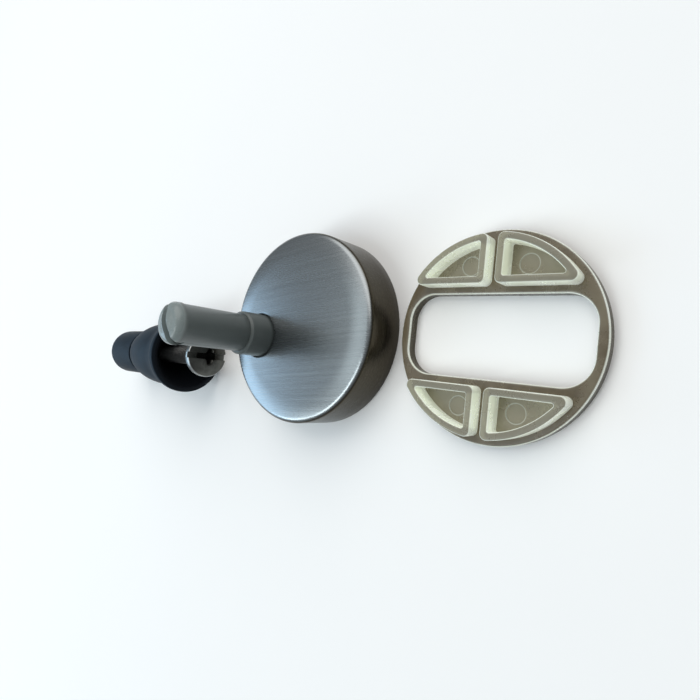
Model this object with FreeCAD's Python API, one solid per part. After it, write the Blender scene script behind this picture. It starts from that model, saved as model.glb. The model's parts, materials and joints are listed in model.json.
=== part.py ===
import FreeCAD, Part
import math
import os

from FreeCAD import Placement, Rotation, Vector

# Toilet seat hinge, laid out: the capped base with its pin, the gasket in front of it,
# and the expansion plug with its screw lying behind it.
# Millimetres, +Z up. The origin is under the middle of the laid-out set, on the surface it lies on.

# Cover cap
cap_diameter = 50.0
cap_height = 12.0
cap_wall = 0.7
cap_edge_radius = 1.4
cap_crown = 0.3

# Hinge pin, and the boss of the base that carries it
pin_offset = 14.0
pin_bearing = 14.5
pin_diameter = 10.0
pin_rise = 28.8
tip_length = 4.1
tip_bead = 0.2
tip_bead_taper = 0.5
tip_corner_radius = 2.1
tip_crown = 0.7
tip_slot_width = 1.9
tip_slot_depth = 4.6
tip_slot_turn = 7.0
boss_diameter = 11.6
boss_rise = 7.0
boss_edge_chamfer = 0.5
stud_diameter = 7.6
stud_floor = 1.0

# Base plate under the cap
deck_thickness = 1.8
deck_edge_radius = 1.0
well_wall = 1.8
well_floor = 2.5
well_corner_radius = 3.9
rib_thickness = 1.4
foot_gap = 0.5

# Gasket
gasket_plate = 3.0
gasket_edge_radius = 0.5
gasket_web = 2.2
tub_height = 3.9
tub_floor = 2.4
tub_wall = 1.6
tub_margin = 1.5
tub_rim = 1.45
tub_corner_radius = 1.3
tub_lip_radius = 0.4
ejector_mark_diameter = 4.2
ejector_mark_depth = 0.15
ejector_mark_bearing = 23.0
ejector_mark_shift = 0.6
gasket_distance = 50.5
gasket_shift = 2.85
gasket_turn = 2.6

# Expansion plug, measured from the face of its flange
plug_length = 47.0
flange_diameter = 23.8
flange_lip = 1.6
flare_depth = 0.42
mouth_diameter = 20.6
mouth_depth = 14.0
waist_at = 9.0
waist_diameter = 20.5
barrel_diameter = 19.9
barrel_end_at = 27.4
barrel_end_diameter = 16.0
barrel_edge_radius = 0.4
neck_length = 1.6
neck_depth = 0.9
nose_diameter = 15.4
nose_edge_radius = 1.8
plug_distance = 47.3
plug_shift = -12.8
plug_turn = 4.2

# Nut moulded into the plug's nose
nut_diameter = 9.8
nut_flange_diameter = 11.4
nut_flange = 1.6
nut_length = 12.0
nut_cover = 2.0

# Fixing screw
screw_diameter = 6.0
screw_excess = 3.0
screw_tip_chamfer = 0.8
screw_standout = 10.8
head_diameter = 12.5
head_height = 3.6
head_edge_height = 1.9
drive_slot_width = 1.8
drive_slot_depth = 2.6
cross_span = 6.4
cross_arm_width = 1.9
cross_depth = 3.0
cross_tip_radius = 1.0

# Clearances
cap_fit = 0.3
boss_hole_fit = 0.3
deck_gap = 0.3
stud_fit = 0.04
head_room = 0.75
well_fit = 0.3
gasket_room = 1.5
tub_fit = 0.5
rib_fit = 0.4
thread_fit = 0.05
bore_fit = 0.4
nut_bond = 0.02

# Sizes that follow from the ones above
cap_radius = cap_diameter / 2
cap_inner_radius = cap_radius - cap_wall
base_radius = cap_inner_radius - cap_fit
deck_top = cap_height - cap_crown - cap_wall - deck_gap
deck_bottom = deck_top - deck_thickness
boss_radius = boss_diameter / 2
boss_top = cap_height + boss_rise
boss_bottom = gasket_plate + tub_height + tub_fit
stud_bottom = boss_bottom + stud_floor
pin_radius = pin_diameter / 2
pin_top = cap_height + pin_rise
tip_start = pin_top - tip_length
tip_radius = pin_radius + tip_bead

gasket_radius = cap_inner_radius - gasket_room
gasket_slot_length = 2 * (gasket_radius - gasket_web)
well_outer_length = gasket_slot_length - 2 * well_fit
well_length = well_outer_length - 2 * well_wall
well_width = head_diameter + 2 * head_room
well_outer_width = well_width + 2 * well_wall
well_outer_corner = well_corner_radius + well_wall
screw_travel = well_length - well_width
screw_slot_width = screw_diameter + 2 * bore_fit
screw_slot_length = screw_slot_width + screw_travel

gasket_slot_width = well_outer_width + 2 * well_fit
gasket_slot_corner = well_outer_corner + well_fit
tub_side = gasket_slot_width / 2 + tub_margin
tub_radius = gasket_radius - tub_rim
tub_gap = rib_thickness + 2 * rib_fit
tub_top = gasket_plate + tub_height
skirt_inner_radius = tub_radius + tub_fit

flange_radius = flange_diameter / 2
barrel_end_radius = barrel_end_diameter / 2
nose_radius = nose_diameter / 2
neck_radius = nose_radius - neck_depth
neck_end_at = barrel_end_at + neck_length
screw_radius = screw_diameter / 2
screw_length = plug_length + screw_excess
head_radius = head_diameter / 2
head_top = screw_standout + head_height
bore_radius = screw_radius + bore_fit
nut_radius = nut_diameter / 2
nut_flange_radius = nut_flange_diameter / 2
nut_end_at = plug_length - nut_cover
nut_start_at = nut_end_at - nut_length

ORIGIN = Vector(0, 0, 0)
X_AXIS = Vector(1, 0, 0)
Y_AXIS = Vector(0, 1, 0)
Z_AXIS = Vector(0, 0, 1)
PIN_CENTRE = Vector(0, pin_offset, 0)


def point(radius, height):
    """A point of a turned profile, in the XZ plane."""
    return Vector(radius, 0, height)


def line(start, end):
    """A straight edge."""
    return Part.LineSegment(start, end).toShape()


def path(*points):
    """Straight edges that join the points in order."""
    return [line(start, end) for start, end in zip(points, points[1:])]


def rounding(start, end, centre):
    """The short circular edge from start to end about a centre."""
    bisector = (start - centre) + (end - centre)
    bisector.normalize()
    middle = centre + bisector * (start - centre).Length
    return Part.Arc(start, middle, end).toShape()


def hollowed(start, end, depth):
    """A circular edge that runs down a profile and dips toward the axis, by depth at its middle."""
    chord = end - start
    inward = Vector(chord.z, 0, -chord.x)
    inward.normalize()
    return Part.Arc(start, (start + end) * 0.5 + inward * depth, end).toShape()


def dome(edge, apex):
    """The edge of a shallow dome, from its rim to its apex on the axis."""
    rise = apex.z - edge.z
    radius = (edge.x ** 2 + rise ** 2) / (2 * rise)
    half = edge.x / 2
    middle = point(half, apex.z - radius + math.sqrt(radius ** 2 - half ** 2))
    return Part.Arc(edge, middle, apex).toShape()


def turned(edges):
    """A solid of revolution about Z, from the closed profile that the edges make."""
    return Part.Face(Part.Wire(edges)).revolve(ORIGIN, Z_AXIS, 360)


def cylinder(radius, bottom, top, centre=ORIGIN):
    """An upright cylinder between two heights."""
    return Part.makeCylinder(radius, top - bottom, centre + Z_AXIS * bottom)


def block(x_low, x_high, y_low, y_high, bottom, top):
    """A block between two corners."""
    return Part.makeBox(x_high - x_low, y_high - y_low, top - bottom, Vector(x_low, y_low, bottom))


def upright_edges(shape):
    """The straight edges of a shape that run along Z."""
    found = []
    for edge in shape.Edges:
        run = edge.Vertexes[-1].Point - edge.Vertexes[0].Point
        if run.Length > 0 and abs(run.z) > 0.999 * run.Length:
            found.append(edge)
    return found


def level_edges(shape, height):
    """The edges of a shape that lie flat at one height."""
    near = 1e-6
    found = []
    for edge in shape.Edges:
        span = edge.BoundBox
        if span.ZLength < near and abs(span.ZMin - height) < near:
            found.append(edge)
    return found


def rounded_block(length, width, corner, bottom, top):
    """A block about the Z axis, long in X, with its four upright edges rounded."""
    shape = block(-length / 2, length / 2, -width / 2, width / 2, bottom, top)
    return shape.makeFillet(corner, upright_edges(shape))


def obround(length, width, bottom, top):
    """A block about the Z axis, long in X, with half-round ends."""
    reach = (length - width) / 2
    shape = block(-reach, reach, -width / 2, width / 2, bottom, top)
    ends = [cylinder(width / 2, bottom, top, X_AXIS * side * reach) for side in (-1, 1)]
    return shape.fuse(ends).removeSplitter()


def make_cover_cap():
    """Drawn cup with a slightly crowned face, and a hole for the boss off its centre."""
    shoulder = cap_height - cap_crown
    inner_edge_radius = max(cap_edge_radius - cap_wall, cap_wall / 2)
    side = point(cap_radius, shoulder - cap_edge_radius)
    rim = point(cap_radius - cap_edge_radius, shoulder)
    inner_side = point(cap_inner_radius, shoulder - cap_wall - inner_edge_radius)
    inner_rim = point(cap_inner_radius - inner_edge_radius, shoulder - cap_wall)
    apex = point(0, cap_height)
    inner_apex = point(0, cap_height - cap_wall)
    edges = path(inner_side, point(cap_inner_radius, 0), point(cap_radius, 0), side)
    edges.append(rounding(side, rim, point(rim.x, side.z)))
    edges.append(dome(rim, apex))
    edges.append(line(apex, inner_apex))
    edges.append(dome(inner_rim, inner_apex))
    edges.append(rounding(inner_rim, inner_side, point(inner_rim.x, inner_side.z)))
    hole = cylinder(boss_radius + boss_hole_fit, 0, cap_height, PIN_CENTRE)
    return turned(Part.sortEdges(edges)[0]).cut(hole)


def make_base_plate():
    """Moulded base: skirt, deck, a slotted well for the screw, a rib each side, and the pin's boss."""
    skirt = cylinder(base_radius, gasket_plate, deck_top)
    skirt = skirt.makeFillet(deck_edge_radius, level_edges(skirt, deck_top))
    skirt = skirt.cut(cylinder(skirt_inner_radius, gasket_plate, deck_bottom))
    well = rounded_block(well_outer_length, well_outer_width, well_outer_corner, foot_gap, deck_top)
    rib_reach = (skirt_inner_radius + base_radius) / 2
    rib = block(-rib_thickness / 2, rib_thickness / 2, -rib_reach, rib_reach, gasket_plate, deck_bottom)
    chamfer_start = boss_top - boss_edge_chamfer
    boss = cylinder(boss_radius, boss_bottom, chamfer_start, PIN_CENTRE)
    boss_tip = Part.makeCone(boss_radius, boss_radius - boss_edge_chamfer, boss_edge_chamfer,
                             PIN_CENTRE + Z_AXIS * chamfer_start)
    body = skirt.fuse([well, rib, boss, boss_tip])
    hollow = rounded_block(well_length, well_width, well_corner_radius, foot_gap + well_floor, deck_top)
    slot = obround(screw_slot_length, screw_slot_width, foot_gap, deck_top)
    stud_hole = cylinder(stud_diameter / 2 + stud_fit, stud_bottom, boss_top, PIN_CENTRE)
    return body.cut([hollow, slot, stud_hole]).removeSplitter()


def make_hinge_pin():
    """Plain pin on a narrower stud, with a slightly wider round tip that has a slot across it."""
    stud_radius = stud_diameter / 2
    shoulder = pin_top - tip_crown
    side = point(tip_radius, shoulder - tip_corner_radius)
    rim = point(tip_radius - tip_corner_radius, shoulder)
    apex = point(0, pin_top)
    foot = point(0, stud_bottom + stud_fit)
    edges = path(apex, foot, point(stud_radius, foot.z), point(stud_radius, boss_top),
                 point(pin_radius, boss_top), point(pin_radius, tip_start),
                 point(tip_radius, tip_start + tip_bead_taper), side)
    edges.append(rounding(side, rim, point(rim.x, side.z)))
    edges.append(dome(rim, apex))
    slot = block(-tip_radius, tip_radius, -tip_slot_width / 2, tip_slot_width / 2,
                 pin_top - tip_slot_depth, pin_top)
    slot.rotate(ORIGIN, Z_AXIS, tip_slot_turn)
    pin = turned(edges).cut(slot)
    pin.translate(PIN_CENTRE)
    return pin


def tub_segment(inset, bottom, top):
    """The outline of a tub, drawn in by inset: a ring segment with two straight sides."""
    corner = block(tub_side + inset, gasket_radius, tub_gap / 2 + inset, gasket_radius, bottom, top)
    corner = corner.common(cylinder(tub_radius - inset, bottom, top))
    return corner.makeFillet(max(tub_corner_radius - inset, tub_lip_radius), upright_edges(corner))


def make_tub():
    """One raised tub, open at the top, with the round mark of an ejector on its floor."""
    lip_radius = min(tub_lip_radius, 0.45 * tub_wall)
    hollow = tub_segment(tub_wall, tub_floor, tub_top)
    tub = tub_segment(0, 0, tub_top).cut(hollow)
    tub = tub.makeFillet(lip_radius, level_edges(tub, tub_top))
    mark_turn = math.radians(ejector_mark_bearing)
    mark_reach = (tub_side + tub_radius) / 2 + ejector_mark_shift
    mark_centre = Vector(math.cos(mark_turn), math.sin(mark_turn), 0) * mark_reach
    mark = cylinder(ejector_mark_diameter / 2, tub_floor - ejector_mark_depth, tub_floor, mark_centre)
    return tub.cut(mark), hollow.fuse(mark)


def make_seat_gasket():
    """Round plate with a long slot, and two raised tubs on each side of the slot."""
    slot = rounded_block(gasket_slot_length, gasket_slot_width, gasket_slot_corner, 0, gasket_plate)
    slot.rotate(ORIGIN, Z_AXIS, 90)
    plate = cylinder(gasket_radius, 0, gasket_plate).cut(slot)
    plate = plate.makeFillet(gasket_edge_radius, level_edges(plate, gasket_plate))
    tub, hollow = make_tub()
    tubs = [tub, tub.mirror(ORIGIN, X_AXIS)]
    hollows = [hollow, hollow.mirror(ORIGIN, X_AXIS)]
    tubs += [shape.mirror(ORIGIN, Y_AXIS) for shape in tubs]
    hollows += [shape.mirror(ORIGIN, Y_AXIS) for shape in hollows]
    return plate.fuse(tubs).cut(hollows).removeSplitter()


def make_expansion_plug():
    """Rubber sleeve: flared flange with a funnel mouth, a barrel, a neck and a round-ended nose."""
    lip = point(flange_radius, -flange_lip)
    waist = point(waist_diameter / 2, -waist_at)
    crest = point(barrel_diameter / 2, -(waist_at + barrel_end_at) / 2)
    barrel_end = point(barrel_end_radius, barrel_edge_radius - barrel_end_at)
    barrel_edge = point(barrel_end_radius - barrel_edge_radius, -barrel_end_at)
    nose_side = point(nose_radius, nose_edge_radius - plug_length)
    nose_rim = point(nose_radius - nose_edge_radius, -plug_length)
    mouth = point(mouth_diameter / 2, 0)
    edges = path(mouth, point(flange_radius, 0), lip)
    edges.append(hollowed(lip, waist, flare_depth))
    edges.append(Part.Arc(waist, crest, barrel_end).toShape())
    edges.append(rounding(barrel_end, barrel_edge, point(barrel_edge.x, barrel_end.z)))
    edges += path(barrel_edge, point(neck_radius, -barrel_end_at), point(neck_radius, -neck_end_at),
                  point(nose_radius, -neck_end_at), nose_side)
    edges.append(rounding(nose_side, nose_rim, point(nose_rim.x, nose_side.z)))
    edges += path(nose_rim, point(bore_radius, -plug_length), point(bore_radius, -mouth_depth), mouth)
    return turned(edges).cut(nut_body(nut_bond))


def nut_body(growth):
    """The nut's outside, grown all round: a barrel with a flange at each end."""
    barrel = cylinder(nut_radius + growth, -nut_end_at, -nut_start_at)
    flange = cylinder(nut_flange_radius + growth, -growth, nut_flange + growth)
    far_flange = flange.translated(Z_AXIS * -nut_end_at)
    near_flange = flange.translated(Z_AXIS * -(nut_start_at + nut_flange))
    return barrel.fuse([far_flange, near_flange]).removeSplitter()


def make_plug_nut():
    """Turned brass nut with a flange at each end, moulded into the nose."""
    return nut_body(0).cut(cylinder(screw_radius + thread_fit, -nut_end_at, -nut_start_at))


def make_fixing_screw():
    """Pan-head machine screw with a slot and a cross recess in its head."""
    tip = screw_standout - screw_length
    chamfer_radius = screw_radius - screw_tip_chamfer
    head_edge = point(head_radius, screw_standout + head_edge_height)
    apex = point(0, head_top)
    edges = path(apex, point(0, tip), point(chamfer_radius, tip), point(screw_radius, tip + screw_tip_chamfer),
                 point(screw_radius, screw_standout), point(head_radius, screw_standout), head_edge)
    edges.append(dome(head_edge, apex))
    slot = block(-drive_slot_width / 2, drive_slot_width / 2, -head_radius, head_radius,
                 head_top - drive_slot_depth, head_top)
    arm = block(-cross_span / 2, cross_span / 2, -cross_arm_width / 2, cross_arm_width / 2,
                head_top - cross_depth, head_top)
    cross_arm = arm.copy()
    cross_arm.rotate(ORIGIN, Z_AXIS, 90)
    taper = Part.makeCone(cross_tip_radius, cross_span / 2, cross_depth, Z_AXIS * (head_top - cross_depth))
    recess = arm.fuse(cross_arm).common(taper)
    return turned(edges).cut([slot, recess])


def plug_tilt():
    """The angle at which the plug lies on the rim of its flange and the edge of its nose, in radians."""
    drop = flange_radius - (nose_radius - nose_edge_radius)
    run = plug_length - nose_edge_radius - flange_lip
    return math.acos(nose_edge_radius / math.hypot(drop, run)) - math.atan2(run, drop)


def layout():
    """Where each group lies, about the middle of the cap, by the name of the group."""
    tilt = plug_tilt()
    plug_height = flange_radius * math.cos(tilt) + flange_lip * math.sin(tilt)
    plug_rotation = Rotation(Z_AXIS, plug_turn) * Rotation(X_AXIS, 90 - math.degrees(tilt))
    return {
        "hinge": Placement(ORIGIN, Rotation(Z_AXIS, pin_bearing)),
        "gasket": Placement(Vector(gasket_shift, -gasket_distance, 0), Rotation(Z_AXIS, gasket_turn)),
        "plug": Placement(Vector(plug_shift, plug_distance, plug_height), plug_rotation),
    }


def make_pieces():
    """Every piece at its place, with the origin under the middle of the set."""
    groups = {
        "hinge": {"cover_cap": make_cover_cap, "base_plate": make_base_plate, "hinge_pin": make_hinge_pin},
        "gasket": {"seat_gasket": make_seat_gasket},
        "plug": {"expansion_plug": make_expansion_plug, "plug_nut": make_plug_nut,
                 "fixing_screw": make_fixing_screw},
    }
    places = layout()
    pieces = {}
    for group, makers in groups.items():
        for name, make in makers.items():
            shape = make()
            shape.Placement = places[group] * shape.Placement
            pieces[name] = shape
    box = Part.makeCompound(list(pieces.values())).optimalBoundingBox()
    middle = Vector(box.Center.x, box.Center.y, 0)
    for shape in pieces.values():
        shape.translate(-middle)
    return pieces


if __name__ == "__main__":
    os.makedirs("parts", exist_ok=True)
    for name, shape in make_pieces().items():
        shape.exportStep("parts/" + name + ".step")
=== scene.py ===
"""Dresses the toilet seat hinge as the photograph lays it out: fine pieces, finishes, light and camera."""
import json
import logging
import math
from dataclasses import dataclass
from enum import Enum
from typing import ClassVar, Sequence

import bmesh
import bpy
from mathutils import Matrix, Vector


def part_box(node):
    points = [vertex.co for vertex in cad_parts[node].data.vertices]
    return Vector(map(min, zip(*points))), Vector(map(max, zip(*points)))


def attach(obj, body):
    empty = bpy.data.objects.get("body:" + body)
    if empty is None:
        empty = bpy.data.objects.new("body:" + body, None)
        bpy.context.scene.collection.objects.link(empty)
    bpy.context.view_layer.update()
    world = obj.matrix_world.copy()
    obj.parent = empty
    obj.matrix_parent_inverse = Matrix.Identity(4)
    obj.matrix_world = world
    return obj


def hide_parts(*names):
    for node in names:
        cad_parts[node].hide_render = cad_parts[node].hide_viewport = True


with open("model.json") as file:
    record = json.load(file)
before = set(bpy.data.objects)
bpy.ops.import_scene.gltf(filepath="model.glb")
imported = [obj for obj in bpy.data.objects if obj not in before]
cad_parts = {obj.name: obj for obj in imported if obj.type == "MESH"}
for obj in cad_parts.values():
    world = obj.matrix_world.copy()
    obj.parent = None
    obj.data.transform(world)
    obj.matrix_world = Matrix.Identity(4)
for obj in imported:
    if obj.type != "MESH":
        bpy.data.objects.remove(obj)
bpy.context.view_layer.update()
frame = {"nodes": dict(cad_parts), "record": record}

MM = 0.001
TURN = 2 * math.pi
WELD = 0.002 * MM
SHARP_ANGLE = math.radians(35)
EDGE_STEPS = 3

log = logging.getLogger("hinge")

Point = tuple[float, float]
Span = Point
Relief = Point
Triple = tuple[float, float, float]
Colour = Triple


class Body(Enum):
    """The moving bodies of the frame."""

    BASE = "base"
    CAP = "cap"
    SCREW = "screw"


class Slot(Enum):
    """The material slots of the record."""

    CAP = "brushed_cap"
    MOULDING = "grey_moulding"
    GASKET = "clear_gasket"
    RUBBER = "black_rubber"
    NUT = "brass_nut"
    SCREW = "zinc_screw"


@dataclass(frozen=True)
class PanHead:
    """Sizes of a screw's domed head."""

    radius: float = 6.25 * MM
    height: float = 3.6 * MM
    edge_height: float = 1.9 * MM


@dataclass(frozen=True)
class Mottle:
    """Noise in a finish, with the size of its features along each axis in millimetres."""

    size: Triple
    detail: float = 2.0
    roughness: float = 0.5


class Value:
    """A node's output that takes part in arithmetic."""

    def __init__(self, graph: "Graph", socket: bpy.types.NodeSocket) -> None:
        """Keeps the socket and its graph."""
        self.graph = graph
        self.socket = socket

    def __add__(self, other: "Term") -> "Value":
        """Sum."""
        return self.graph.math("ADD", self, other)

    def __radd__(self, other: "Term") -> "Value":
        """Sum, with a number on the left."""
        return self.graph.math("ADD", other, self)

    def __sub__(self, other: "Term") -> "Value":
        """Difference."""
        return self.graph.math("SUBTRACT", self, other)

    def __rsub__(self, other: "Term") -> "Value":
        """Difference, with a number on the left."""
        return self.graph.math("SUBTRACT", other, self)

    def __mul__(self, other: "Term") -> "Value":
        """Product."""
        return self.graph.math("MULTIPLY", self, other)

    def __truediv__(self, other: "Term") -> "Value":
        """Quotient."""
        return self.graph.math("DIVIDE", self, other)

    def ramp(self, low: float, high: float) -> "Value":
        """A smooth step from 0 at low to 1 at high."""
        span = {"Value": self, "From Min": low, "From Max": high}
        return self.graph.out(self.graph.node("ShaderNodeMapRange", span, interpolation_type="SMOOTHSTEP"))


Term = Value | float


class Graph:
    """A node tree, and the way to add nodes to it."""

    def __init__(self, tree: bpy.types.NodeTree) -> None:
        """Takes over an empty tree."""
        self.tree = tree

    def node(self, kind: str, inputs: dict[str | int, object] | None = None,
             **settings: object) -> bpy.types.Node:
        """Adds a node.

        Args:
            kind: The node's type name.
            inputs: A value or a link for each socket, by identifier, name or index.
            settings: Its properties, set before its sockets.

        Returns:
            The new node.
        """
        made = self.tree.nodes.new(kind)
        for key, setting in settings.items():
            setattr(made, key, setting)
        for key, term in (inputs or {}).items():
            socket = self.find(made.inputs, key)
            if isinstance(term, Value):
                self.tree.links.new(term.socket, socket)
            else:
                socket.default_value = term
        return made

    @staticmethod
    def find(sockets: Sequence[bpy.types.NodeSocket], key: str | int) -> bpy.types.NodeSocket:
        """Finds a socket.

        Args:
            sockets: The inputs or the outputs of a node.
            key: The socket's index, identifier or name.

        Returns:
            The first socket that answers to the key.
        """
        if isinstance(key, int):
            return sockets[key]
        return next(each for each in sockets if key in (each.identifier, each.name))

    def out(self, node: bpy.types.Node, key: str | int = 0) -> Value:
        """One output of a node, for arithmetic and links."""
        return Value(self, self.find(node.outputs, key))

    def math(self, operation: str, *terms: Term) -> Value:
        """One step of arithmetic."""
        return self.out(self.node("ShaderNodeMath", dict(enumerate(terms)), operation=operation))

    def vector(self, x: Term, y: Term, z: Term) -> Value:
        """A vector from its three parts."""
        return self.out(self.node("ShaderNodeCombineXYZ", {"X": x, "Y": y, "Z": z}))

    def parts(self, vector: Value) -> list[Value]:
        """The three parts of a vector."""
        split = self.node("ShaderNodeSeparateXYZ", {"Vector": vector})
        return [self.out(split, axis) for axis in "XYZ"]


class ShaderGraph(Graph):
    """The node tree of one material."""

    def __init__(self, name: str) -> None:
        """Starts a material with an empty tree."""
        self.material = bpy.data.materials.new(name)
        self.material.use_nodes = True
        self.material.node_tree.nodes.clear()
        super().__init__(self.material.node_tree)

    def place(self) -> list[Value]:
        """The surface point in the row frame, in millimetres."""
        coordinates = self.out(self.node("ShaderNodeTexCoord"), "Object")
        return [part / MM for part in self.parts(coordinates)]

    def place_on(self, turned: Matrix) -> list[Value]:
        """The surface point in a frame of its own, in millimetres.

        Args:
            turned: That frame's place and axes in the row frame.

        Returns:
            The point's three coordinates.
        """
        offset = [each - origin for each, origin in zip(self.place(), turned.translation / MM)]
        axes = turned.to_3x3().transposed()
        return [sum(part * float(axis[row]) for row, part in enumerate(offset)) for axis in axes]

    def facing(self) -> Value:
        """How far the surface faces up, from -1 to 1."""
        normal = self.out(self.node("ShaderNodeTexCoord"), "Normal")
        return self.parts(normal)[2]

    def mottle(self, place: Sequence[Term], grade: Mottle) -> Value:
        """Noise from 0 to 1.

        Args:
            place: The three coordinates that it varies with.
            grade: The size of its features, and how busy it is.

        Returns:
            The noise.
        """
        at = self.vector(*(part / size for part, size in zip(place, grade.size)))
        inputs = {"Vector": at, "Scale": 1.0, "Detail": grade.detail, "Roughness": grade.roughness}
        return self.out(self.node("ShaderNodeTexNoise", inputs), "Fac")

    def blend(self, share: Term, first: Colour | Value, second: Colour | Value) -> Value:
        """A colour between two others.

        Args:
            share: 0 for the first colour, 1 for the second.
            first: A colour, or a link to one.
            second: A colour, or a link to one.

        Returns:
            The mixed colour.
        """
        inputs = {"Factor_Float": share}
        for key, colour in (("A_Color", first), ("B_Color", second)):
            inputs[key] = colour if isinstance(colour, Value) else (*colour, 1.0)
        return self.out(self.node("ShaderNodeMix", inputs, data_type="RGBA"), "Result_Color")

    def bump(self, height: Value, depth: float, strength: float) -> Value:
        """A normal from a height between 0 and 1, as a share of the depth in metres."""
        inputs = {"Height": height, "Distance": depth, "Strength": strength}
        return self.out(self.node("ShaderNodeBump", inputs), "Normal")

    def finish(self, **inputs: object) -> bpy.types.Material:
        """Ends the tree in a principled surface.

        Args:
            inputs: Its sockets, by name with underscores for spaces.

        Returns:
            The material.
        """
        named = {key.replace("_", " "): term for key, term in inputs.items()}
        surface = self.out(self.node("ShaderNodeBsdfPrincipled", named), "BSDF")
        self.node("ShaderNodeOutputMaterial", {"Surface": surface})
        return self.material


@dataclass(frozen=True)
class Finish:
    """A surface finish that can be made into a material, with spans of height in millimetres."""

    name: str

    def material(self) -> bpy.types.Material:
        """The material, with its node tree."""
        raise NotImplementedError


@dataclass(frozen=True)
class BrushedSteel(Finish):
    """Stainless steel, brushed straight on its face and in rings on its wall, which is painted dark brown as
    a painted reflection.
    """

    place: Matrix
    lean: float = math.radians(-4)
    light: Colour = (0.325, 0.346, 0.356)
    dark: Colour = (0.27, 0.288, 0.297)
    # The wall's tones are painted dark brown, a painted reflection of dark surroundings rather than the
    # steel's own colour.
    wall_painted_reflection_light: Colour = (0.069, 0.059, 0.043)
    wall_painted_reflection_dark: Colour = (0.052, 0.045, 0.031)
    grain: Mottle = Mottle((0.22, 30.0, 30.0), 2.0, 0.6)
    streaks: Mottle = Mottle((1.1, 60.0, 60.0))
    streak_share: float = 0.18
    wall_grain: Mottle = Mottle((1 / 2.2, 0.22, 1.0), 3.0, 0.65)
    wall_slice: float = 3.7
    face_slopes: Span = (0.62, 0.96)
    tones: Span = (0.2, 0.8)
    roughness: float = 0.27
    roughness_spread: float = 0.07
    relief: Relief = (0.005 * MM, 0.3)

    def material(self) -> bpy.types.Material:
        """Builds the node tree.

        Returns:
            The material.
        """
        graph = ShaderGraph(self.name)
        x, y, z = graph.place_on(Matrix.Translation(self.place.translation))
        brushed = graph.place_on(self.place @ Matrix.Rotation(self.lean, 4, "Z"))
        angle = graph.math("ARCTAN2", y, x)
        wall = graph.mottle((angle, z, self.wall_slice), self.wall_grain)
        # upward picks the face's grain, and below its slopes the wall's painted reflection, which these
        # slopes start early on the rim's rounding.
        upward = graph.facing().ramp(*self.face_slopes)
        grain = graph.mottle(brushed, self.grain) * upward + wall * (1 - upward)
        streaks = graph.mottle(brushed, self.streaks)
        tone = grain * (1 - self.streak_share) + streaks * self.streak_share
        share = tone.ramp(*self.tones)
        top = graph.blend(share, self.dark, self.light)
        # side is the wall's painted reflection.
        side = graph.blend(share, self.wall_painted_reflection_dark, self.wall_painted_reflection_light)
        return graph.finish(
            Base_Color=graph.blend(upward, side, top),
            Metallic=1.0,
            Roughness=self.roughness + (tone - 0.5) * self.roughness_spread,
            Normal=graph.bump(grain, *self.relief),
        )


@dataclass(frozen=True)
class SatinPlastic(Finish):
    """Grey moulded plastic with a fine satin skin, and a painted highlight that makes the pin's tip pale."""

    base: Colour = (0.084, 0.098, 0.095)
    worn: Colour = (0.128, 0.145, 0.141)
    # The tip's pale colour is a painted highlight, for light on the glossy dome; tip_polish only makes it
    # glossier.
    tip: Colour = (0.215, 0.250, 0.246)
    tip_heights: Span = (37.6, 38.8)
    tip_polish: float = 0.1
    cloud: Mottle = Mottle((5.0, 5.0, 9.0), 3.0)
    cloud_wear: float = 0.6
    cloud_roughness: float = 0.16
    scuff: Mottle = Mottle((0.5, 0.5, 6.0), 4.0, 0.7)
    scuff_tones: Span = (0.55, 0.8)
    scuff_wear: float = 0.5
    scuff_roughness: float = 0.08
    scuff_relief: float = 0.3
    skin: Mottle = Mottle((0.35, 0.35, 0.35))
    skin_relief: float = 0.8
    roughness: float = 0.36
    relief: Relief = (0.02 * MM, 0.35)

    def material(self) -> bpy.types.Material:
        """Builds the node tree.

        Returns:
            The material.
        """
        graph = ShaderGraph(self.name)
        place = graph.place()
        cloud = graph.mottle(place, self.cloud)
        skin = graph.mottle(place, self.skin)
        scuff = graph.mottle(place, self.scuff).ramp(*self.scuff_tones)
        body = graph.blend(cloud * self.cloud_wear + scuff * self.scuff_wear, self.base, self.worn)
        # A painted highlight by height at the pin's tip, which also lowers the roughness there.
        painted_highlight = place[2].ramp(*self.tip_heights)
        uneven = (cloud - 0.5) * self.cloud_roughness + scuff * self.scuff_roughness
        return graph.finish(
            Base_Color=graph.blend(painted_highlight, body, self.tip),
            Roughness=self.roughness + uneven - painted_highlight * self.tip_polish,
            Normal=graph.bump(skin * self.skin_relief + scuff * self.scuff_relief, *self.relief),
        )


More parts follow.
